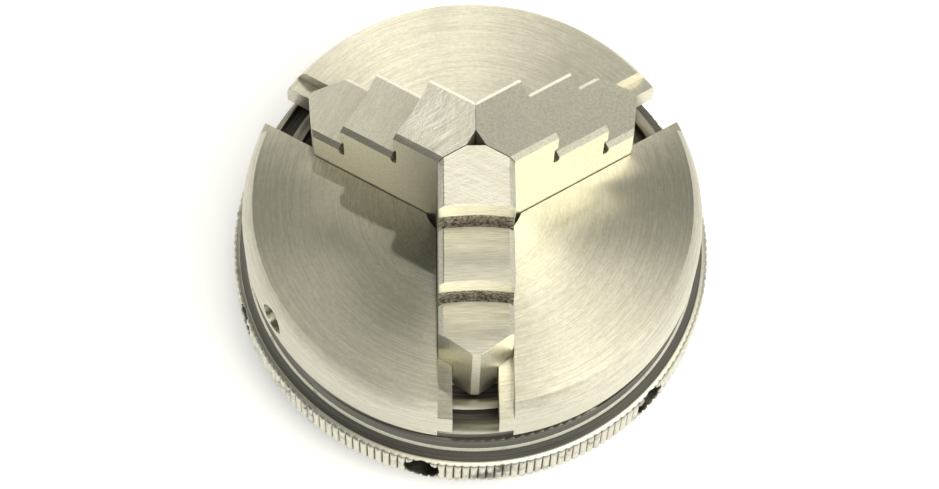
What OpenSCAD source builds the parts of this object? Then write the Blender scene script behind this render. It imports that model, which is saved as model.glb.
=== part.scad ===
// Three-jaw self-centring lathe chuck with a lever-turned scroll ring.
// The origin is on the chuck's axis at the back end of the boss, and +Z points towards the jaws.

/* [Body] */
// Outer diameter of the body
body_d = 63; // [62.6:0.1:63.2]
// Thickness of the body's slotted disc
disc_t = 8.4; // [8.3:0.1:8.6]
// Radius of the through hole behind the jaws
through_r = 6.8; // [6.5:0.1:7.0]
// Outer radius of the hub that the scroll ring turns on
hub_r = 14.6; // [14.5:0.1:14.7]
// Length of the hub behind the disc
hub_h = 7.5; // [7.4:0.1:7.7]
// Radius of the bar hole in the body's wall
body_hole_r = 2.2; // [2.0:0.1:2.4]

/* [Scroll ring] */
// Radius of the knurled rim
rim_r = 33.3; // [33:0.1:33.6]
// Radius of the smooth neck above the rim
neck_r = 31.2; // [31:0.1:31.3]
// Pitch of the scroll's spiral thread
pitch = 3.5; // [3.4:0.05:3.6]
// Width of the groove between two turns of the thread
groove_w = 2.0; // [1.9:0.05:2.1]
// Depth of the groove
groove_h = 1.8; // [1.7:0.05:1.9]
// Radius of the six bar holes in the rim
ring_hole_r = 2.5; // [2.2:0.1:2.5]

/* [Jaws] */
// Width of a jaw
jaw_w = 10; // [9.8:0.1:10]
// Travel of each jaw from closed to fully open
travel = 10; // [8:0.5:10]
// Height of the inner tread above the body's face
tread_1_z = 18; // [16:0.5:19]
// Height of the middle tread above the body's face
tread_2_z = 12; // [11.5:0.25:13]
// Height of the outer tread above the body's face
tread_3_z = 6.2; // [6:0.1:7]
// Radius at which the inner tread ends
riser_1_x = 9.2; // [9:0.1:9.6]
// Radius at which the middle tread ends
riser_2_x = 17.3; // [17:0.1:17.6]
// Radius of the jaw's outermost edge
jaw_end_x = 25.3; // [25:0.1:25.6]

/* [Back plate] */
// Minor radius of the spindle thread in the boss
thread_r = 6.46; // [6.2:0.01:6.5]
// Outer radius of the threaded boss
boss_r = 9.2; // [9:0.1:9.2]
// Radius at which the plate screws sit
screw_ring_r = 12.1; // [12:0.1:12.2]

/* [Hidden] */
$fn = 96;

// Colours
bright_steel = [0.80, 0.79, 0.74];
jaw_steel = [0.72, 0.71, 0.67];
black_oxide = [0.16, 0.15, 0.15];
plate_steel = [0.62, 0.61, 0.58];
bronze = [0.72, 0.52, 0.28];
screw_black = [0.10, 0.10, 0.11];

// Clearances
face_gap = 0.1;
shaft_gap = 0.06;
slot_gap = 0.1;
nose_gap = 0.05;
cut = 1;

// Directions of the three jaws
JAW_ANGLES = [-90, 30, 150];

// Heights along the axis, from the back of the boss
boss_h = 4.7;
plate_t = 3.8;
plate_top_z = boss_h + plate_t;
disc_bottom_z = plate_top_z + hub_h;
face_z = disc_bottom_z + disc_t;
crest_z = disc_bottom_z - face_gap;
groove_z = crest_z - groove_h;
washer_t = 1.0;
washer_edge = 0.4;
washer_z = plate_top_z + face_gap / 2;
web_z = washer_z + washer_t + face_gap;

// Body
body_r = body_d / 2;
edge_break = 0.3;
// The rim above the straight wall is an arc that meets the face at a crisp edge
rim_arc_h = 4.6;
rim_arc_w = 1.6;
rim_arc_steps = 6;
rim_arc_r = (rim_arc_h * rim_arc_h + rim_arc_w * rim_arc_w) / (2 * rim_arc_w);
tongue_t = 3.8;
tongue_reach = 2;
tongue_top_z = face_z - 2.5;
tongue_bottom_z = tongue_top_z - tongue_t;
slot_half_w = jaw_w / 2 + slot_gap;
tongue_half_gap = slot_half_w - tongue_reach;
// The hub stands this far into the slots, as the floor under the jaws
slot_floor_h = 0.05;
body_hole_angle = 210;
body_hole_z = face_z - 4.4;
body_hole_depth = 12;

// Scroll ring
ring_bottom_z = boss_h - 0.9;
knurl_chamfer = 0.35;
knurl_bottom_z = ring_bottom_z + knurl_chamfer;
knurl_top_z = knurl_bottom_z + 5.1;
cone_top_z = knurl_top_z + 2.05;
cone_r = rim_r - 0.8;
neck_step = 0.15;
ring_edge = 0.2;
recess_r = 23;
ring_hole_z = (knurl_top_z + knurl_bottom_z) / 2;
ring_hole_depth = 7;
ring_hole_angle = 17.5;
steps_per_turn = 48;
spiral_turns = 4.6;
// Angle where the groove starts, and its radius at angle 0
spiral_start_angle = 60;
spiral_zero_r = 16.9;

// Teeth under the jaws
tooth_t = 1.3;
tooth_half_w = 3.6;
tooth_h = groove_h - 0.2;
tooth_bottom_z = groove_z + 0.2;
foot_bottom_z = crest_z + 0.3;
innermost_tooth_r = 16.2;
last_tooth_r = jaw_end_x - 1.2;

// Jaw details
nose_half_w = 1.22;
nose_angle = 60;
end_half_w = 0.56;
end_slope = tan(36);
edge_bevel = 0.7;
riser_r = 32;
// The relief groove at the foot of each riser: its lip above the tread, its depth, and its two walls
relief_up = 2.6;
relief_down = 1.6;
relief_in = 0.5;
relief_out = 0.4;
relief_round = 0.3;
// The teeth reach this far into the foot
tooth_root = 0.4;
tooth_box = 4;

// Back plate fasteners
plate_r = 22.6;
screw_angles = [90, 210, 330];
screw_r = 1.5;
screw_hole_r = 1.65;
screw_head_r = 2.75;
screw_head_h = 1.5;
screw_head_gap = 0.1;
// The screws stand this far inside the plate's back
screw_sink = 0.05;
screw_len = 8;
screw_bore_h = 6;
hex_af = 2;
hex_depth = 1.1;
fastener_gap = 0.02;
dowel_angles = [0, 180];
dowel_r = 1.25;
dowel_len = 5.6;
dowel_z = plate_top_z - 2.6;
dowel_bore_h = 3.2;

function spiral_r(a) = spiral_zero_r - pitch * a / 360;
function spiral_point(a, side) = (spiral_r(a) + side * groove_w / 2) * [cos(a), sin(a)];

// Radius of a jaw's innermost tooth, where the groove crosses the jaw's own direction
function first_tooth_r(a) = spiral_r(a) + pitch * ceil((innermost_tooth_r - spiral_r(a)) / pitch);

// Places children at each listed angle and radius
module around(angles, r = 0) {
    for (a = angles) rotate(a) translate([r, 0, 0]) children();
}

// Outline of the spiral groove: it starts beside the hub and runs out through the ring's edge
module spiral_outline() {
    steps = round(spiral_turns * steps_per_turn);
    da = 360 / steps_per_turn;
    outer = [for (i = [0 : steps]) spiral_point(spiral_start_angle - i * da, 1)];
    inner = [for (i = [steps : -1 : 0]) spiral_point(spiral_start_angle - i * da, -1)];
    polygon(concat(outer, inner));
}

// One jaw slot along +X, wide above and below the guide tongues
module jaw_slot() {
    length = body_r + cut;
    translate([0, -slot_half_w, tongue_top_z])
        cube([length, 2 * slot_half_w, face_z - tongue_top_z + cut]);
    translate([0, -tongue_half_gap, tongue_bottom_z - cut])
        cube([length, 2 * tongue_half_gap, tongue_t + 2 * cut]);
    translate([0, -slot_half_w, disc_bottom_z - cut])
        cube([length, 2 * slot_half_w, tongue_bottom_z - disc_bottom_z + cut]);
}

module disc() {
    rim_arc = [for (i = [0 : rim_arc_steps])
        let (up = rim_arc_h * i / rim_arc_steps)
        [body_r - rim_arc_r + sqrt(rim_arc_r * rim_arc_r - up * up), face_z - rim_arc_h + up]];
    rotate_extrude() polygon(concat(
        [[0, disc_bottom_z], [body_r - edge_break, disc_bottom_z], [body_r, disc_bottom_z + edge_break]],
        rim_arc,
        [[0, face_z]]
    ));
}

module chuck_body() {
    color(bright_steel) difference() {
        union() {
            difference() {
                disc();
                around(JAW_ANGLES) jaw_slot();
            }
            translate([0, 0, plate_top_z]) cylinder(r = hub_r, h = hub_h + slot_floor_h);
        }
        translate([0, 0, plate_top_z - cut]) cylinder(r = through_r, h = hub_h + disc_t + 2 * cut);
        rotate(body_hole_angle) translate([body_r - body_hole_depth, 0, body_hole_z])
            rotate([0, 90, 0]) cylinder(r = body_hole_r, h = body_hole_depth + cut);
        around(screw_angles, screw_ring_r)
            translate([0, 0, plate_top_z - cut]) cylinder(r = screw_r + fastener_gap, h = screw_bore_h + cut);
        around(dowel_angles, screw_ring_r)
            translate([0, 0, plate_top_z - cut]) cylinder(r = dowel_r + fastener_gap, h = dowel_bore_h + cut);
    }
}

module scroll_ring() {
    bore_r = hub_r + shaft_gap;
    color(black_oxide) difference() {
        rotate_extrude() polygon([
            [bore_r, web_z],
            [recess_r, web_z],
            [recess_r, ring_bottom_z],
            [rim_r - knurl_chamfer, ring_bottom_z],
            [rim_r, knurl_bottom_z],
            [rim_r, knurl_top_z - edge_break],
            [rim_r - edge_break, knurl_top_z],
            [cone_r, knurl_top_z],
            [neck_r + neck_step, cone_top_z],
            [neck_r, cone_top_z + neck_step],
            [neck_r, crest_z - ring_edge],
            [neck_r - ring_edge, crest_z],
            [bore_r, crest_z]
        ]);
        translate([0, 0, groove_z]) linear_extrude(groove_h + cut) spiral_outline();
        for (k = [0 : 5]) rotate(ring_hole_angle + 60 * k)
            translate([rim_r - ring_hole_depth, 0, ring_hole_z])
                rotate([0, 90, 0]) cylinder(r = ring_hole_r, h = ring_hole_depth + cut);
    }
}

// Side outline of the jaw's head: three treads, with room for the curved risers to be cut
module head_profile() {
    x1 = riser_1_x + cut;
    x2 = riser_2_x + cut;
    low = tongue_top_z - face_z + slot_gap;
    polygon([
        [0, low], [0, tread_1_z], [x1, tread_1_z], [x1, tread_2_z], [x2, tread_2_z],
        [x2, tread_3_z], [jaw_end_x, tread_3_z], [jaw_end_x, low]
    ]);
}

// Cuts one hollow riser over a tread, with the relief groove at its foot
module riser_cut(x, tread_z, top_z) {
    groove_low = tread_z - relief_down;
    translate([x + riser_r, 0, 0]) rotate_extrude() polygon([
        [0, tread_z],
        [riser_r - relief_out, tread_z],
        [riser_r - relief_out, groove_low + relief_round],
        [riser_r - relief_out + relief_round, groove_low],
        [riser_r + relief_in - relief_round, groove_low],
        [riser_r + relief_in, groove_low + relief_round],
        [riser_r + relief_in, tread_z + relief_up - relief_in],
        [riser_r, tread_z + relief_up],
        [riser_r, top_z + cut],
        [0, top_z + cut]
    ]);
}

// Plan outline of the jaw: 120 degree nose inside and a blunt prow outside
module jaw_plan() {
    half_w = jaw_w / 2;
    nose_x = nose_half_w / tan(nose_angle) + nose_gap;
    side_x = half_w / tan(nose_angle) + nose_gap;
    prow_x = jaw_end_x - (half_w - end_half_w) * end_slope;
    polygon([
        [nose_x, -nose_half_w], [side_x, -half_w], [prow_x, -half_w], [jaw_end_x, -end_half_w],
        [jaw_end_x, end_half_w], [prow_x, half_w], [side_x, half_w], [nose_x, nose_half_w]
    ]);
}

// Bevels along both long edges of one tread
module tread_bevels(x_from, x_to, z) {
    for (side = [-1, 1])
        translate([x_from, side * jaw_w / 2, z]) rotate([45, 0, 0])
            translate([0, -edge_bevel / sqrt(2), -edge_bevel / sqrt(2)])
                cube([x_to - x_from, edge_bevel * sqrt(2), edge_bevel * sqrt(2)]);
}

// One scroll tooth: its outer arc fits the groove when closed, and its inner arc when fully open
module tooth(r) {
    translate([0, 0, tooth_bottom_z - face_z]) linear_extrude(tooth_h + tooth_root) intersection() {
        difference() {
            circle(r = r + tooth_t / 2);
            translate([-travel, 0]) circle(r = r + travel - tooth_t / 2);
        }
        translate([r - tooth_box / 2, -tooth_half_w]) square([tooth_box, 2 * tooth_half_w]);
    }
}

// A jaw along +X, its heights measured from the body's face
module jaw(a) {
    foot_z = foot_bottom_z - face_z;
    foot_top_z = tongue_bottom_z - face_z - slot_gap;
    neck_top_z = tongue_top_z - face_z + slot_gap;
    low_z = tooth_bottom_z - face_z;
    color(jaw_steel) rotate(a) translate([0, 0, face_z]) intersection() {
        difference() {
            union() {
                translate([0, jaw_w / 2, 0]) rotate([90, 0, 0]) linear_extrude(jaw_w) head_profile();
                translate([0, -tongue_half_gap + slot_gap, foot_top_z - cut / 2])
                    cube([jaw_end_x, 2 * (tongue_half_gap - slot_gap), neck_top_z - foot_top_z + cut]);
                translate([0, -jaw_w / 2, foot_z]) cube([jaw_end_x, jaw_w, foot_top_z - foot_z]);
                for (r = [first_tooth_r(a) : pitch : last_tooth_r]) tooth(r);
            }
            riser_cut(riser_1_x, tread_2_z, tread_1_z);
            riser_cut(riser_2_x, tread_3_z, tread_2_z);
            tread_bevels(0, riser_1_x + cut, tread_1_z);
            tread_bevels(riser_1_x, riser_2_x + cut, tread_2_z);
            tread_bevels(riser_2_x, jaw_end_x, tread_3_z);
        }
        translate([0, 0, low_z]) linear_extrude(tread_1_z - low_z) jaw_plan();
    }
}

module jaw_1() {
    jaw(JAW_ANGLES[0]);
}

module jaw_2() {
    jaw(JAW_ANGLES[1]);
}

module jaw_3() {
    jaw(JAW_ANGLES[2]);
}

module back_plate() {
    chamfer = 0.6;
    color(plate_steel) difference() {
        rotate_extrude() polygon([
            [thread_r, chamfer],
            [thread_r + chamfer, 0],
            [boss_r - chamfer, 0],
            [boss_r, chamfer],
            [boss_r, boss_h],
            [plate_r - chamfer, boss_h],
            [plate_r, boss_h + chamfer],
            [plate_r, plate_top_z],
            [thread_r, plate_top_z]
        ]);
        around(screw_angles, screw_ring_r) {
            translate([0, 0, boss_h - cut]) cylinder(r = screw_hole_r, h = plate_t + 2 * cut);
            translate([0, 0, boss_h]) cylinder(r1 = screw_head_r + screw_head_gap, r2 = screw_hole_r, h = screw_head_h);
            translate([0, 0, boss_h - cut]) cylinder(r = screw_head_r + screw_head_gap, h = cut);
        }
        around(dowel_angles, screw_ring_r)
            translate([0, 0, boss_h - cut]) cylinder(r = dowel_r + fastener_gap, h = plate_t + 2 * cut);
    }
}

module thrust_washer() {
    color(bronze) translate([0, 0, washer_z]) difference() {
        cylinder(r = plate_r - washer_edge, h = washer_t);
        translate([0, 0, -cut]) cylinder(r = hub_r + shaft_gap, h = washer_t + 2 * cut);
    }
}

// Countersunk screw with a hex socket, pointing up into the hub
module plate_screw(a) {
    color(screw_black) rotate(a) translate([screw_ring_r, 0, boss_h + screw_sink]) difference() {
        union() {
            cylinder(r1 = screw_head_r, r2 = screw_r, h = screw_head_h);
            cylinder(r = screw_r, h = screw_len);
        }
        translate([0, 0, -cut]) cylinder(r = hex_af / sqrt(3), h = hex_depth + cut, $fn = 6);
    }
}

module plate_screw_1() {
    plate_screw(screw_angles[0]);
}

module plate_screw_2() {
    plate_screw(screw_angles[1]);
}

module plate_screw_3() {
    plate_screw(screw_angles[2]);
}

module dowel_pin(a) {
    color(bright_steel) rotate(a) translate([screw_ring_r, 0, dowel_z])
        cylinder(r = dowel_r, h = dowel_len);
}

module dowel_pin_1() {
    dowel_pin(dowel_angles[0]);
}

module dowel_pin_2() {
    dowel_pin(dowel_angles[1]);
}

chuck_body();
scroll_ring();
jaw_1();
jaw_2();
jaw_3();
back_plate();
thrust_washer();
plate_screw_1();
plate_screw_2();
plate_screw_3();
dowel_pin_1();
dowel_pin_2();
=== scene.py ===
"""Looks of the three-jaw lathe chuck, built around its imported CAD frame."""

import math

import bmesh
import bpy
from mathutils import Matrix, Vector


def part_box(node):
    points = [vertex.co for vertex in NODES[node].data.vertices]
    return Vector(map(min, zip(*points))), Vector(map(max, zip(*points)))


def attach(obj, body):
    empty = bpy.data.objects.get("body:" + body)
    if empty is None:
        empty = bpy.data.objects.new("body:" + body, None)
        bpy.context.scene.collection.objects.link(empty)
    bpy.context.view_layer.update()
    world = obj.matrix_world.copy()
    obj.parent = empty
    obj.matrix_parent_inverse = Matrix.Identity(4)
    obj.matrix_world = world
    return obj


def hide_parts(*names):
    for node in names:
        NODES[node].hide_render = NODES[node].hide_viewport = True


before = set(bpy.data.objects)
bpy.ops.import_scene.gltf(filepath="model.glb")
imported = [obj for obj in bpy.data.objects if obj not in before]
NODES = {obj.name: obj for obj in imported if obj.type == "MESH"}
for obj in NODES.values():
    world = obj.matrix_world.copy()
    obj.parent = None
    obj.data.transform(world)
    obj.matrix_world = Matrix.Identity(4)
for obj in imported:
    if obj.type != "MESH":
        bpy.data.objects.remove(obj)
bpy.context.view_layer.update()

MM = 0.001
TURN = 2 * math.pi

# Places read from the frame
BODY_LOW, BODY_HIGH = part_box("chuck_body")
RING_LOW, RING_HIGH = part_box("scroll_ring")
FACE_Z = BODY_HIGH.z
RIM_R = RING_HIGH.x
JAW_ANGLES = {"jaw_1": -90, "jaw_2": 30, "jaw_3": 150}
# How strongly each jaw shows the crossed scratches on its top, and the grinding lines across its treads
JAW_FINISH = {"jaw_1": (1.0, 0.9), "jaw_2": (0.12, 0.15), "jaw_3": (1.0, 0.6)}
# Heights on the scroll ring, in millimetres: the knurl's top, and the foot of the neck
KNURL_TOP_Z = RING_LOW.z / MM + 5.45
NECK_FOOT_Z = KNURL_TOP_Z + 2.05
NECK_R = RIM_R / MM - 2.1


# ---------------------------------------------------------------- node helpers

def set_inputs(tree, node, inputs):
    """Each input is given by name or number, as a value or as another node's socket."""
    for key, value in inputs.items():
        socket = node.inputs[key]
        if isinstance(value, bpy.types.NodeSocket):
            tree.links.new(value, socket)
        else:
            socket.default_value = value


def add(tree, kind, inputs=None, **settings):
    node = tree.nodes.new(kind)
    for key, value in settings.items():
        setattr(node, key, value)
    set_inputs(tree, node, inputs or {})
    return node


def calc(tree, operation, a, b=0.0, c=0.0, clamp=False):
    node = add(tree, "ShaderNodeMath", {0: a, 1: b, 2: c}, operation=operation, use_clamp=clamp)
    return node.outputs[0]


def step(tree, value, low, high):
    """0 below low, 1 above high, and smooth between them."""
    node = add(tree, "ShaderNodeMapRange", {"Value": value, "From Min": low, "From Max": high},
               interpolation_type="SMOOTHSTEP", clamp=True)
    return node.outputs[0]


def band(tree, value, low, high, soft):
    """1 between low and high, and 0 outside."""
    return calc(tree, "MULTIPLY", step(tree, value, low - soft, low), step(tree, value, high + soft, high))


def mix(tree, factor, a, b, blend="MIX"):
    node = add(tree, "ShaderNodeMix", data_type="RGBA", blend_type=blend)
    node.inputs["Factor"].default_value = 1.0
    set_inputs(tree, node, {"Factor": factor, "A": a, "B": b})
    return node.outputs["Result"]


def noise(tree, vector, scale, detail=2.0, rough=0.5):
    node = add(tree, "ShaderNodeTexNoise",
               {"Vector": vector, "Scale": scale, "Detail": detail, "Roughness": rough})
    return node.outputs[0]


def mix_value(tree, factor, a, b):
    """a where factor is 0, and b where it is 1."""
    return calc(tree, "MULTIPLY_ADD", factor, calc(tree, "SUBTRACT", b, a), a)


def combine(tree, x, y, z):
    return add(tree, "ShaderNodeCombineXYZ", {0: x, 1: y, 2: z}).outputs[0]


def rgba(colour):
    return (*colour, 1.0)


def new_material(name, colour, metallic, roughness, anisotropic=0.0):
    """A material, its node tree and its shader, with the constants on the shader's own sockets."""
    material = bpy.data.materials.new(name)
    material.use_nodes = True
    tree = material.node_tree
    shader = tree.nodes["Principled BSDF"]
    shader.inputs["Base Color"].default_value = rgba(colour)
    shader.inputs["Metallic"].default_value = metallic
    shader.inputs["Roughness"].default_value = roughness
    if anisotropic:
        shader.inputs["Anisotropic"].default_value = anisotropic
        shader.inputs["Anisotropic Rotation"].default_value = 0.25
    return material, tree, shader


def local_axes(tree, angle=0.0):
    """Coordinates in millimetres, turned so that x points along the given angle."""
    place = add(tree, "ShaderNodeTexCoord").outputs["Object"]
    turned = add(tree, "ShaderNodeMapping",
                 {"Vector": place, "Rotation": (0, 0, math.radians(-angle)), "Scale": (1000, 1000, 1000)})
    parts = add(tree, "ShaderNodeSeparateXYZ", {0: turned.outputs[0]})
    return parts.outputs[0], parts.outputs[1], parts.outputs[2]


def polar(tree):
    """Radius in millimetres, and the unit direction from the axis, seamless all round."""
    x, y, z = local_axes(tree)
    radius = calc(tree, "SQRT", calc(tree, "MULTIPLY_ADD", x, x, calc(tree, "MULTIPLY", y, y)))
    safe = calc(tree, "MAXIMUM", radius, 0.001)
    return radius, calc(tree, "DIVIDE", x, safe), calc(tree, "DIVIDE", y, safe), z


def bump(tree, shader, height, depth_mm, strength=1.0):
    node = add(tree, "ShaderNodeBump", {"Height": height, "Distance": depth_mm * MM, "Strength": strength})
    set_inputs(tree, shader, {"Normal": node.outputs[0]})


# ---------------------------------------------------------------- materials

def turned_steel(name, colour, roughness):
    """Steel faced on a lathe: fine concentric lines, and glints that fan out from the axis."""
    material, tree, shader = new_material(name, colour, 1.0, roughness, anisotropic=0.95)
    radius, ux, uy, z = polar(tree)
    outward = calc(tree, "ADD", radius, z)

    def arcs(lines_per_mm, around, seed):
        """Noise in thin arcs round the axis: around sets how short they are."""
        place = combine(tree, calc(tree, "MULTIPLY_ADD", outward, lines_per_mm, seed),
                        calc(tree, "MULTIPLY", ux, around), calc(tree, "MULTIPLY", uy, around))
        return noise(tree, place, 1.0, 2.0, 0.6)

    long_arcs, short_arcs = arcs(5.0, 1.2, 0.0), arcs(7.0, 16.0, 40.0)
    place = add(tree, "ShaderNodeTexCoord").outputs["Object"]
    grain = noise(tree, place, 2600.0, 2.0, 0.6)
    clouds = noise(tree, place, 110.0, 3.0, 0.55)
    lines = calc(tree, "MULTIPLY_ADD", short_arcs, 0.5, calc(tree, "MULTIPLY", long_arcs, 0.5))
    tone = calc(tree, "MULTIPLY_ADD", grain, 0.2, calc(tree, "MULTIPLY", lines, 0.8))
    dark = tuple(c * 0.83 for c in colour)
    light = tuple(min(1.0, c * 1.12) for c in colour)
    smoky = tuple(c * 0.84 for c in colour)
    shade = mix(tree, step(tree, tone, 0.36, 0.64), rgba(dark), rgba(light))
    set_inputs(tree, shader, {
        "Base Color": mix(tree, step(tree, clouds, 0.58, 0.80), shade, rgba(smoky)),
        "Roughness": calc(tree, "MULTIPLY_ADD", lines, 0.12, roughness - 0.06),
        "Tangent": add(tree, "ShaderNodeTangent", direction_type="RADIAL", axis="Z").outputs[0],
    })
    bump(tree, shader, lines, 0.005, 0.5)
    return material


def scratches(tree, x, y, angle, per_mm, length, low, high):
    """Long thin scratches that run at the given angle to the jaw."""
    a = math.radians(angle)
    along = calc(tree, "MULTIPLY_ADD", x, math.cos(a), calc(tree, "MULTIPLY", y, math.sin(a)))
    across = calc(tree, "MULTIPLY_ADD", x, -math.sin(a), calc(tree, "MULTIPLY", y, math.cos(a)))
    place = combine(tree, calc(tree, "DIVIDE", along, length), calc(tree, "MULTIPLY", across, per_mm), angle)
    return step(tree, noise(tree, place, 1.0, 2.0, 0.6), low, high)


# The relief groove at the foot of each riser: the riser's radius on the jaw, and its tread above the face
RELIEFS = ((9.2, 12.0), (17.3, 6.2))
RISER_R = 32.0
RELIEF_DOWN, RELIEF_UP = 1.7, 2.5


def relief_mask(tree, x, y, height):
    """1 inside the relief grooves, which follow the hollow risers."""
    found = 0.0
    for riser, tread in RELIEFS:
        dx = calc(tree, "SUBTRACT", x, riser + RISER_R)
        away = calc(tree, "SQRT", calc(tree, "MULTIPLY_ADD", dx, dx, calc(tree, "MULTIPLY", y, y)))
        inward = calc(tree, "SUBTRACT", away, RISER_R)
        wide = band(tree, inward, -0.37, 0.60, 0.02)
        high = band(tree, height, tread - RELIEF_DOWN, tread + RELIEF_UP, 0.05)
        below = step(tree, height, tread - 0.06, tread - 0.12)
        floor = calc(tree, "MAXIMUM", below, step(tree, inward, 0.03, 0.06))
        here = calc(tree, "MULTIPLY", calc(tree, "MULTIPLY", wide, high), floor)
        found = calc(tree, "MAXIMUM", found, here)
    side = step(tree, calc(tree, "ABSOLUTE", y), 4.99, 4.96)
    return calc(tree, "MULTIPLY", found, side)


def jaw_steel(name, angle, hatch, lines):
    """Ground jaw: lines across the treads, crossed scratches on the top one, and relief grooves painted
    dark, partly their rough unground skin and partly painted shade in the hollow.
    """
    colour = (0.76, 0.745, 0.635)
    material, tree, shader = new_material(name, colour, 1.0, 0.34, anisotropic=0.75)
    x, y, z = local_axes(tree, angle)
    height = calc(tree, "SUBTRACT", z, FACE_Z / MM)
    place = add(tree, "ShaderNodeTexCoord").outputs["Object"]
    ground = noise(tree, combine(tree, calc(tree, "MULTIPLY", x, 7.0), calc(tree, "MULTIPLY", y, 0.35),
                                 calc(tree, "MULTIPLY", height, 4.0)), 1.0, 2.0, 0.6)
    grain = noise(tree, place, 3000.0, 3.0, 0.65)
    cloudy = noise(tree, place, 260.0, 2.0, 0.5)
    texture = mix_value(tree, lines, grain, ground)
    top = step(tree, height, 17.6, 17.8)
    one = scratches(tree, x, y, 64, 8.0, 6.0, 0.50, 0.64)
    two = scratches(tree, x, y, 117, 7.0, 7.0, 0.52, 0.66)
    third = scratches(tree, x, y, 82, 6.0, 5.0, 0.56, 0.68)
    crossed = calc(tree, "MAXIMUM", calc(tree, "MAXIMUM", one, two), third)
    scored = calc(tree, "MULTIPLY", crossed, calc(tree, "MULTIPLY", top, hatch))
    groove = relief_mask(tree, x, y, height)
    coarse = noise(tree, place, 2300.0, 3.0, 0.75)
    pits = step(tree, coarse, 0.38, 0.62)
    dark = tuple(c * 0.84 for c in colour)
    light = tuple(c * 1.12 for c in colour)
    plain = mix(tree, step(tree, texture, 0.32, 0.68), rgba(dark), rgba(light))
    plain = mix(tree, calc(tree, "MULTIPLY", cloudy, 0.18), plain, rgba((0.60, 0.585, 0.49)))
    bright = mix(tree, scored, plain, rgba((0.90, 0.89, 0.82)))
    # Relief grooves: rough unground skin, painted much darker as shade in the hollow
    rough_skin_painted_shade = mix(tree, pits, rgba((0.13, 0.115, 0.085)), rgba((0.58, 0.54, 0.45)))
    even = calc(tree, "MULTIPLY_ADD", texture, 0.12, 0.28)
    set_inputs(tree, shader, {
        "Base Color": mix(tree, groove, bright, rough_skin_painted_shade),
        "Roughness": calc(tree, "MULTIPLY_ADD", groove, 0.25, even),
        "Tangent": combine(tree, -math.sin(math.radians(angle)), math.cos(math.radians(angle)), 0.0),
    })
    relief = calc(tree, "MULTIPLY_ADD", scored, -1.6, calc(tree, "MULTIPLY", texture, 0.8))
    relief = calc(tree, "MULTIPLY_ADD", calc(tree, "MULTIPLY", groove, coarse), 9.0, relief)
    bump(tree, shader, relief, 0.008, 0.6)
    return material


def black_oxide(name):
    """Blackened steel whose knurl crests and turned edges are rubbed back to bare metal; the thin bare lines
    on the edges are painted highlights as well as wear.
    """
    skin_dark, skin_light, bare = (0.085, 0.080, 0.070), (0.19, 0.183, 0.160), (0.70, 0.685, 0.59)
    material, tree, shader = new_material(name, skin_light, 1.0, 0.42)
    radius, ux, _, z = polar(tree)
    place = add(tree, "ShaderNodeTexCoord").outputs["Object"]
    blotch = noise(tree, place, 320.0, 4.0, 0.6)
    fine = noise(tree, place, 2600.0, 3.0, 0.6)
    rings = combine(tree, calc(tree, "MULTIPLY", z, 7.0), calc(tree, "MULTIPLY", radius, 7.0), ux)
    turned = noise(tree, rings, 1.0, 3.0, 0.7)
    rim = RIM_R / MM
    ragged = calc(tree, "MULTIPLY_ADD", fine, 0.16, radius)
    knurl = step(tree, ragged, rim - 0.30, rim - 0.06)
    rubbed = calc(tree, "MULTIPLY", knurl, step(tree, blotch, 0.26, 0.50))
    # Thin bare lines where the neck meets the cone, and round the knurl's upper shoulder: partly wear,
    # partly painted highlights of these edges
    tall = calc(tree, "MULTIPLY_ADD", fine, 0.10, z)
    outside = step(tree, radius, NECK_R - 0.15, NECK_R - 0.05)
    foot = calc(tree, "MULTIPLY", band(tree, tall, NECK_FOOT_Z - 0.08, NECK_FOOT_Z + 0.20, 0.08), outside)
    lip = calc(tree, "MULTIPLY", band(tree, tall, KNURL_TOP_Z - 0.10, KNURL_TOP_Z + 0.20, 0.06),
               step(tree, radius, rim - 1.05, rim - 0.85))
    edges = calc(tree, "MULTIPLY", calc(tree, "MAXIMUM", foot, lip), step(tree, blotch, 0.15, 0.45))
    crests = calc(tree, "MULTIPLY", band(tree, z, RING_HIGH.z / MM - 0.12, RING_HIGH.z / MM, 0.05), 0.35)
    # Bare metal on the worn knurl, plus the painted edge highlights
    wear_and_edge_highlight = calc(tree, "MAXIMUM", calc(tree, "MAXIMUM", rubbed, edges), crests)
    skin = mix(tree, step(tree, turned, 0.3, 0.7), rgba(skin_dark), rgba(skin_light))
    set_inputs(tree, shader, {
        "Base Color": mix(tree, wear_and_edge_highlight, skin, rgba(bare)),
        "Roughness": calc(tree, "MULTIPLY_ADD", fine, 0.18, 0.34),
    })
    bump(tree, shader, calc(tree, "MULTIPLY_ADD", fine, 0.8, turned), 0.008, 0.55)
    return material


def machined(name, colour, roughness):
    """Small turned parts: faint lines round the axis and a little mottling."""
    material, tree, shader = new_material(name, colour, 1.0, roughness)
    radius, ux, _, z = polar(tree)
    rings = combine(tree, calc(tree, "MULTIPLY", radius, 4.0), ux, calc(tree, "MULTIPLY", z, 4.0))
    lines = noise(tree, rings, 1.0, 3.0, 0.7)
    place = add(tree, "ShaderNodeTexCoord").outputs["Object"]
    mottle = noise(tree, place, 700.0, 3.0, 0.6)
    tone = calc(tree, "MULTIPLY_ADD", mottle, 0.5, calc(tree, "MULTIPLY", lines, 0.5))
    dark = tuple(c * 0.78 for c in colour)
    light = tuple(min(1.0, c * 1.15) for c in colour)
    set_inputs(tree, shader, {
        "Base Color": mix(tree, step(tree, tone, 0.35, 0.65), rgba(dark), rgba(light)),
        "Roughness": calc(tree, "MULTIPLY_ADD", tone, 0.2, roughness - 0.1),
    })
    bump(tree, shader, lines, 0.005, 0.5)
    return material


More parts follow.
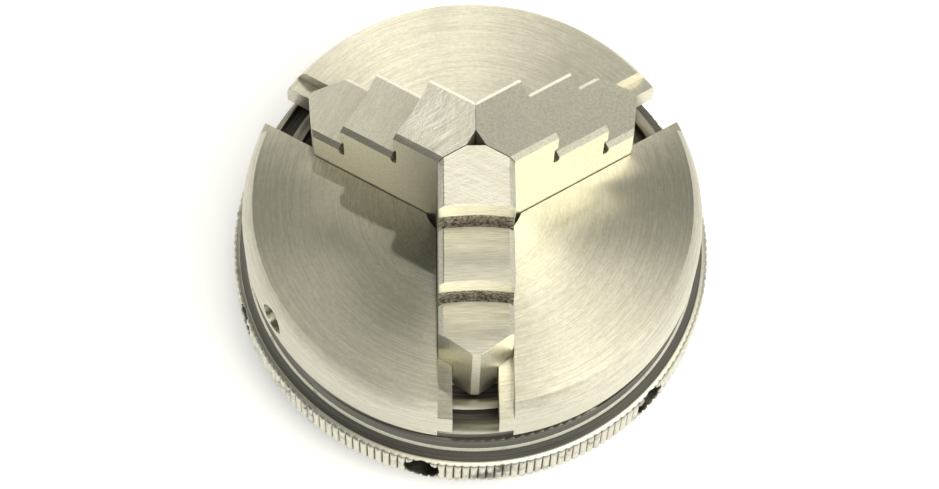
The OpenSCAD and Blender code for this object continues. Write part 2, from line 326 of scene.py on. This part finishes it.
def floor_paper():
    """White paper, lit a little from below so that it stays white under the dim room."""
    material, tree, shader = new_material("floor_paper", (0.93, 0.93, 0.94), 0.0, 0.9)
    place = add(tree, "ShaderNodeTexCoord").outputs["Object"]
    fibres = noise(tree, place, 60.0, 4.0, 0.6)
    set_inputs(tree, shader, {
        "Base Color": mix(tree, fibres, rgba((0.90, 0.905, 0.93)), rgba((0.93, 0.935, 0.96))),
        "Emission Color": rgba((1.0, 1.0, 0.98)),
        "Emission Strength": 0.36,
    })
    return material


# ---------------------------------------------------------------- mesh helpers

def mesh_object(name, verts, faces):
    mesh = bpy.data.meshes.new(name)
    mesh.from_pydata([tuple(c * MM for c in v) for v in verts], [], faces)
    mesh.update()
    obj = bpy.data.objects.new(name, mesh)
    bpy.context.scene.collection.objects.link(obj)
    return obj


def revolve(name, profile, segments):
    """Turns a closed outline round the axis. A point is (radius, z), and its radius may be a function of
    the share of a turn."""
    verts, faces = [], []
    count = len(profile)
    for s in range(segments):
        share = s / segments
        a = TURN * share
        for r, z in profile:
            radius = r(share) if callable(r) else r
            verts.append((radius * math.cos(a), radius * math.sin(a), z))
    for s in range(segments):
        here, there = s * count, (s + 1) % segments * count
        for i in range(count):
            j = (i + 1) % count
            faces.append((here + i, there + i, there + j, here + j))
    return mesh_object(name, verts, faces)


def strip_prism(name, left, right, z_low, z_high):
    """An upright band between two rows of points, made of quads so that it may curl round itself."""
    n = len(left)
    verts = [(x, y, z) for z in (z_low, z_high) for row in (left, right) for x, y in row]
    a, b, c, d = 0, n, 2 * n, 3 * n
    faces = []
    for i in range(n - 1):
        faces.append((a + i, a + i + 1, b + i + 1, b + i))
        faces.append((c + i, d + i, d + i + 1, c + i + 1))
        faces.append((a + i, c + i, c + i + 1, a + i + 1))
        faces.append((b + i, b + i + 1, d + i + 1, d + i))
    faces.append((a, b, d, c))
    faces.append((a + n - 1, c + n - 1, d + n - 1, b + n - 1))
    return mesh_object(name, verts, faces)


def face_out(obj):
    """Turns every face outwards."""
    bm = bmesh.new()
    bm.from_mesh(obj.data)
    bmesh.ops.recalc_face_normals(bm, faces=bm.faces)
    bm.to_mesh(obj.data)
    bm.free()


def apply_modifiers(obj):
    graph = bpy.context.evaluated_depsgraph_get()
    mesh = bpy.data.meshes.new_from_object(obj.evaluated_get(graph))
    obj.modifiers.clear()
    obj.data = mesh


def carve(obj, cutters):
    """Cuts each cutter out of obj, and deletes the cutters."""
    for cutter in cutters:
        face_out(cutter)
        tool = obj.modifiers.new("cut", "BOOLEAN")
        tool.operation = "DIFFERENCE"
        tool.solver = "EXACT"
        tool.object = cutter
    apply_modifiers(obj)
    for cutter in cutters:
        bpy.data.objects.remove(cutter)


# Faces that meet at a smaller angle than this, in degrees, are shaded as one curved surface
SPLIT_ANGLE = 22


def soften(obj, width_mm, angle=32):
    """Chamfers the sharp edges of obj, and shades it smooth between them with truly flat flats."""
    weld = obj.modifiers.new("weld", "WELD")
    weld.merge_threshold = 2e-6
    flats = obj.modifiers.new("flats", "DECIMATE")
    flats.decimate_type = "DISSOLVE"
    flats.angle_limit = math.radians(0.3)
    bevel = obj.modifiers.new("edges", "BEVEL")
    bevel.width = width_mm * MM
    bevel.segments = 1
    bevel.limit_method = "ANGLE"
    bevel.angle_limit = math.radians(angle)
    bevel.use_clamp_overlap = True
    split = obj.modifiers.new("split", "EDGE_SPLIT")
    split.split_angle = math.radians(SPLIT_ANGLE)
    split.use_edge_sharp = False
    normals = obj.modifiers.new("normals", "WEIGHTED_NORMAL")
    normals.keep_sharp = True


def paint(obj, material):
    obj.data.materials.clear()
    obj.data.materials.append(material)
    for polygon in obj.data.polygons:
        polygon.use_smooth = True


# ---------------------------------------------------------------- scroll ring

RIDGES = 186
RIDGE_STEPS = 8
RIDGE_DEPTH = 0.42
# The higher this power, the wider the ridges' crests and the narrower their valleys
RIDGE_POWER = 3.4
PITCH = 3.5
GROOVE_W = 2.0
GROOVE_DEPTH = 1.8
GROOVE_STEPS_PER_TURN = 144
SPIRAL_ZERO_R = 16.9
SPIRAL_START = 60
SPIRAL_TURNS = 4.6
RING_HOLE_ANGLE = 17.5
RING_HOLE_R = 2.5
RING_HOLE_DEPTH = 7.0
HOLE_CHAMFER = 0.12


def ridge(radius, depth):
    """Radius of a straight-knurled surface at a share of a turn: round crests, narrow valleys."""
    def at(share):
        t = share * RIDGES % 1.0
        return radius - depth * abs(2 * t - 1) ** RIDGE_POWER
    return at


def spiral_row(side, segments_per_turn):
    rows = []
    for i in range(round(SPIRAL_TURNS * segments_per_turn) + 1):
        angle = SPIRAL_START - i * 360 / segments_per_turn
        r = SPIRAL_ZERO_R - PITCH * angle / 360 + side * GROOVE_W / 2
        rows.append((r * math.cos(math.radians(angle)), r * math.sin(math.radians(angle))))
    return rows


def bar_hole(angle, radius, reach, depth, z, chamfer):
    """A round cutter that comes in from the rim, with a small chamfer at the mouth."""
    past = 2.0
    segments = 48
    rows = [(radius, 0.0), (radius, depth - chamfer), (radius + chamfer + past, depth + past)]
    verts = [(0, 0, 0.0)]
    for r, h in rows:
        for s in range(segments):
            a = TURN * s / segments
            verts.append((r * math.cos(a), r * math.sin(a), h))
    verts.append((0, 0, depth + past))
    faces = []
    for s in range(segments):
        t = (s + 1) % segments
        faces.append((0, 1 + t, 1 + s))
        for row in range(2):
            a, b = 1 + row * segments, 1 + (row + 1) * segments
            faces.append((a + s, a + t, b + t, b + s))
        last = 1 + 2 * segments
        faces.append((last + s, last + t, len(verts) - 1))
    cutter = mesh_object("bar_hole", verts, faces)
    start = Matrix.Translation(Vector((reach - depth, 0, z)) * MM)
    around = Matrix.Rotation(math.radians(angle), 4, "Z")
    cutter.data.transform(around @ start @ Matrix.Rotation(math.pi / 2, 4, "Y"))
    return cutter


def make_scroll_ring():
    rim = RIM_R / MM
    low, high = RING_LOW.z / MM, RING_HIGH.z / MM
    knurl_low, knurl_high = low + 0.35, KNURL_TOP_Z
    cone_high = NECK_FOOT_Z
    web = (BODY_LOW.z / MM) + 1.15
    bore, recess, neck = 14.66, 23.0, NECK_R
    cut_depth = RIDGE_DEPTH
    outline = [
        (bore, web), (bore + 0.2, web), (recess - 0.2, web), (recess, web - 0.2),
        (recess, low + 0.3), (recess + 0.3, low),
        (rim - 0.55, low),
        (rim - cut_depth, low + 0.12),
        (ridge(rim - 0.02, cut_depth - 0.05), low + 0.45),
        (ridge(rim, cut_depth), low + 0.8),
        (ridge(rim, cut_depth), knurl_high - 0.75),
        (ridge(rim - 0.02, cut_depth - 0.05), knurl_high - 0.4),
        (rim - cut_depth, knurl_high - 0.08),
        (rim - 0.55, knurl_high), (rim - 0.8, knurl_high),
        (neck + 0.22, cone_high - 0.05), (neck + 0.12, cone_high + 0.05), (neck, cone_high + 0.2),
        (neck, high - 0.25), (neck - 0.08, high - 0.08), (neck - 0.25, high),
        (bore + 0.25, high), (bore, high - 0.25),
    ]
    ring = revolve("scroll_ring_knurled", outline, RIDGES * RIDGE_STEPS)
    face_out(ring)
    outer, inner = spiral_row(1, GROOVE_STEPS_PER_TURN), spiral_row(-1, GROOVE_STEPS_PER_TURN)
    groove = strip_prism("groove", outer, inner, high - GROOVE_DEPTH, high + 1.0)
    hole_z = (knurl_low + knurl_high) / 2
    holes = [bar_hole(RING_HOLE_ANGLE + 60 * k, RING_HOLE_R, rim, RING_HOLE_DEPTH, hole_z, HOLE_CHAMFER)
             for k in range(6)]
    carve(ring, [groove, *holes])
    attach(ring, "scroll")
    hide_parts("scroll_ring")
    paint(ring, black_oxide("black_oxide"))
    weld = ring.modifiers.new("weld", "WELD")
    weld.merge_threshold = 1e-6
    bevel = ring.modifiers.new("edges", "BEVEL")
    bevel.width = 0.05 * MM
    bevel.segments = 1
    bevel.limit_method = "ANGLE"
    bevel.angle_limit = math.radians(50)
    normals = ring.modifiers.new("normals", "WEIGHTED_NORMAL")
    normals.keep_sharp = True
    return ring


# ---------------------------------------------------------------- stage, lights and camera

ROOM_LIGHT = 0.08
LIGHT_COLOUR = (1.0, 0.965, 0.86)
# In metres
FLOOR_HALF_WIDTH = 8.0


def make_floor():
    size = FLOOR_HALF_WIDTH
    verts = [(-size, -size, 0), (size, -size, 0), (size, size, 0), (-size, size, 0)]
    floor = mesh_object("floor", [tuple(c / MM for c in v) for v in verts], [(0, 1, 2, 3)])
    floor.data.materials.append(floor_paper())


def make_world():
    """A pale, dim room; the softboxes give nearly all the light."""
    world = bpy.data.worlds.new("room")
    bpy.context.scene.world = world
    world.use_nodes = True
    background = world.node_tree.nodes["Background"]
    background.inputs["Color"].default_value = rgba((1.0, 0.97, 0.90))
    background.inputs["Strength"].default_value = ROOM_LIGHT


def make_softbox(name, azimuth, elevation, width, strength):
    """A distant round softbox: azimuth 0 is along +X and 90 along +Y, and width is its angle across."""
    data = bpy.data.lights.new(name, "SUN")
    data.energy = strength
    data.angle = math.radians(width)
    data.color = LIGHT_COLOUR
    light = bpy.data.objects.new(name, data)
    bpy.context.scene.collection.objects.link(light)
    a, e = math.radians(azimuth), math.radians(elevation)
    towards = Vector((math.cos(a) * math.cos(e), math.sin(a) * math.cos(e), math.sin(e)))
    light.rotation_euler = (-towards).to_track_quat("-Z", "Y").to_euler()


def make_lights():
    """Strong light from the right, a little from behind and in front, and a dark left side."""
    make_softbox("right_low", 327, 38, 40, 1.10)
    make_softbox("right_high", 358, 65, 32, 0.50)
    make_softbox("right_front_high", 312, 64, 34, 0.66)
    make_softbox("right_side", 356, 38, 30, 0.17)
    make_softbox("back_left", 113, 38, 30, 0.34)
    make_softbox("back", 90, 36, 26, 0.34)
    make_softbox("back_right", 66, 36, 30, 0.44)
    make_softbox("front", 268, 38, 36, 0.60)
    make_softbox("front_high", 272, 68, 30, 0.36)
    make_softbox("mirror", 87, 64, 3, 0.032)
    make_softbox("streak", 88, 44, 2.5, 0.05)


CAMERA_AZIMUTH = -3.25
CAMERA_ELEVATION = 65.8
CAMERA_ROLL = 2.74
CAMERA_DISTANCE = 0.3727
CAMERA_LENS = 106.3
CAMERA_AIM = (-0.0006, -0.0068)


def make_camera():
    a, e, r = (math.radians(v) for v in (CAMERA_AZIMUTH, CAMERA_ELEVATION, CAMERA_ROLL))
    back = Vector((math.sin(a) * math.cos(e), -math.cos(a) * math.cos(e), math.sin(e)))
    level = Vector((math.cos(a), math.sin(a), 0))
    upright = back.cross(level)
    right = math.cos(r) * level + math.sin(r) * upright
    up = -math.sin(r) * level + math.cos(r) * upright
    data = bpy.data.cameras.new("camera")
    data.lens = CAMERA_LENS
    data.sensor_width = 36.0
    data.clip_start, data.clip_end = 0.02, 20
    camera = bpy.data.objects.new("camera", data)
    bpy.context.scene.collection.objects.link(camera)
    place = Vector((*CAMERA_AIM, FACE_Z)) + back * CAMERA_DISTANCE
    turn = Matrix((right, up, back)).transposed().to_4x4()
    camera.matrix_world = Matrix.Translation(place) @ turn
    bpy.context.scene.camera = camera


def main():
    scene = bpy.context.scene
    scene.view_settings.view_transform = "Standard"
    scene.view_settings.look = "None"
    make_camera()
    make_world()
    make_lights()
    make_floor()

    make_scroll_ring()

    paint(NODES["chuck_body"], turned_steel("turned_steel", (0.68, 0.66, 0.555), 0.32))
    soften(NODES["chuck_body"], 0.16)
    for name, angle in JAW_ANGLES.items():
        paint(NODES[name], jaw_steel(name + "_steel", angle, *JAW_FINISH[name]))
        soften(NODES[name], 0.07)
    paint(NODES["back_plate"], machined("plate_steel", (0.50, 0.49, 0.46), 0.36))
    soften(NODES["back_plate"], 0.12)
    paint(NODES["thrust_washer"], machined("bronze", (0.72, 0.48, 0.24), 0.34))
    soften(NODES["thrust_washer"], 0.06)
    screw_black = machined("screw_black", (0.09, 0.09, 0.095), 0.4)
    pin_steel = machined("pin_steel", (0.66, 0.66, 0.64), 0.28)
    for name, node in NODES.items():
        if name.startswith("plate_screw"):
            paint(node, screw_black)
            soften(node, 0.05)
        if name.startswith("dowel_pin"):
            paint(node, pin_steel)
            soften(node, 0.05)


main()
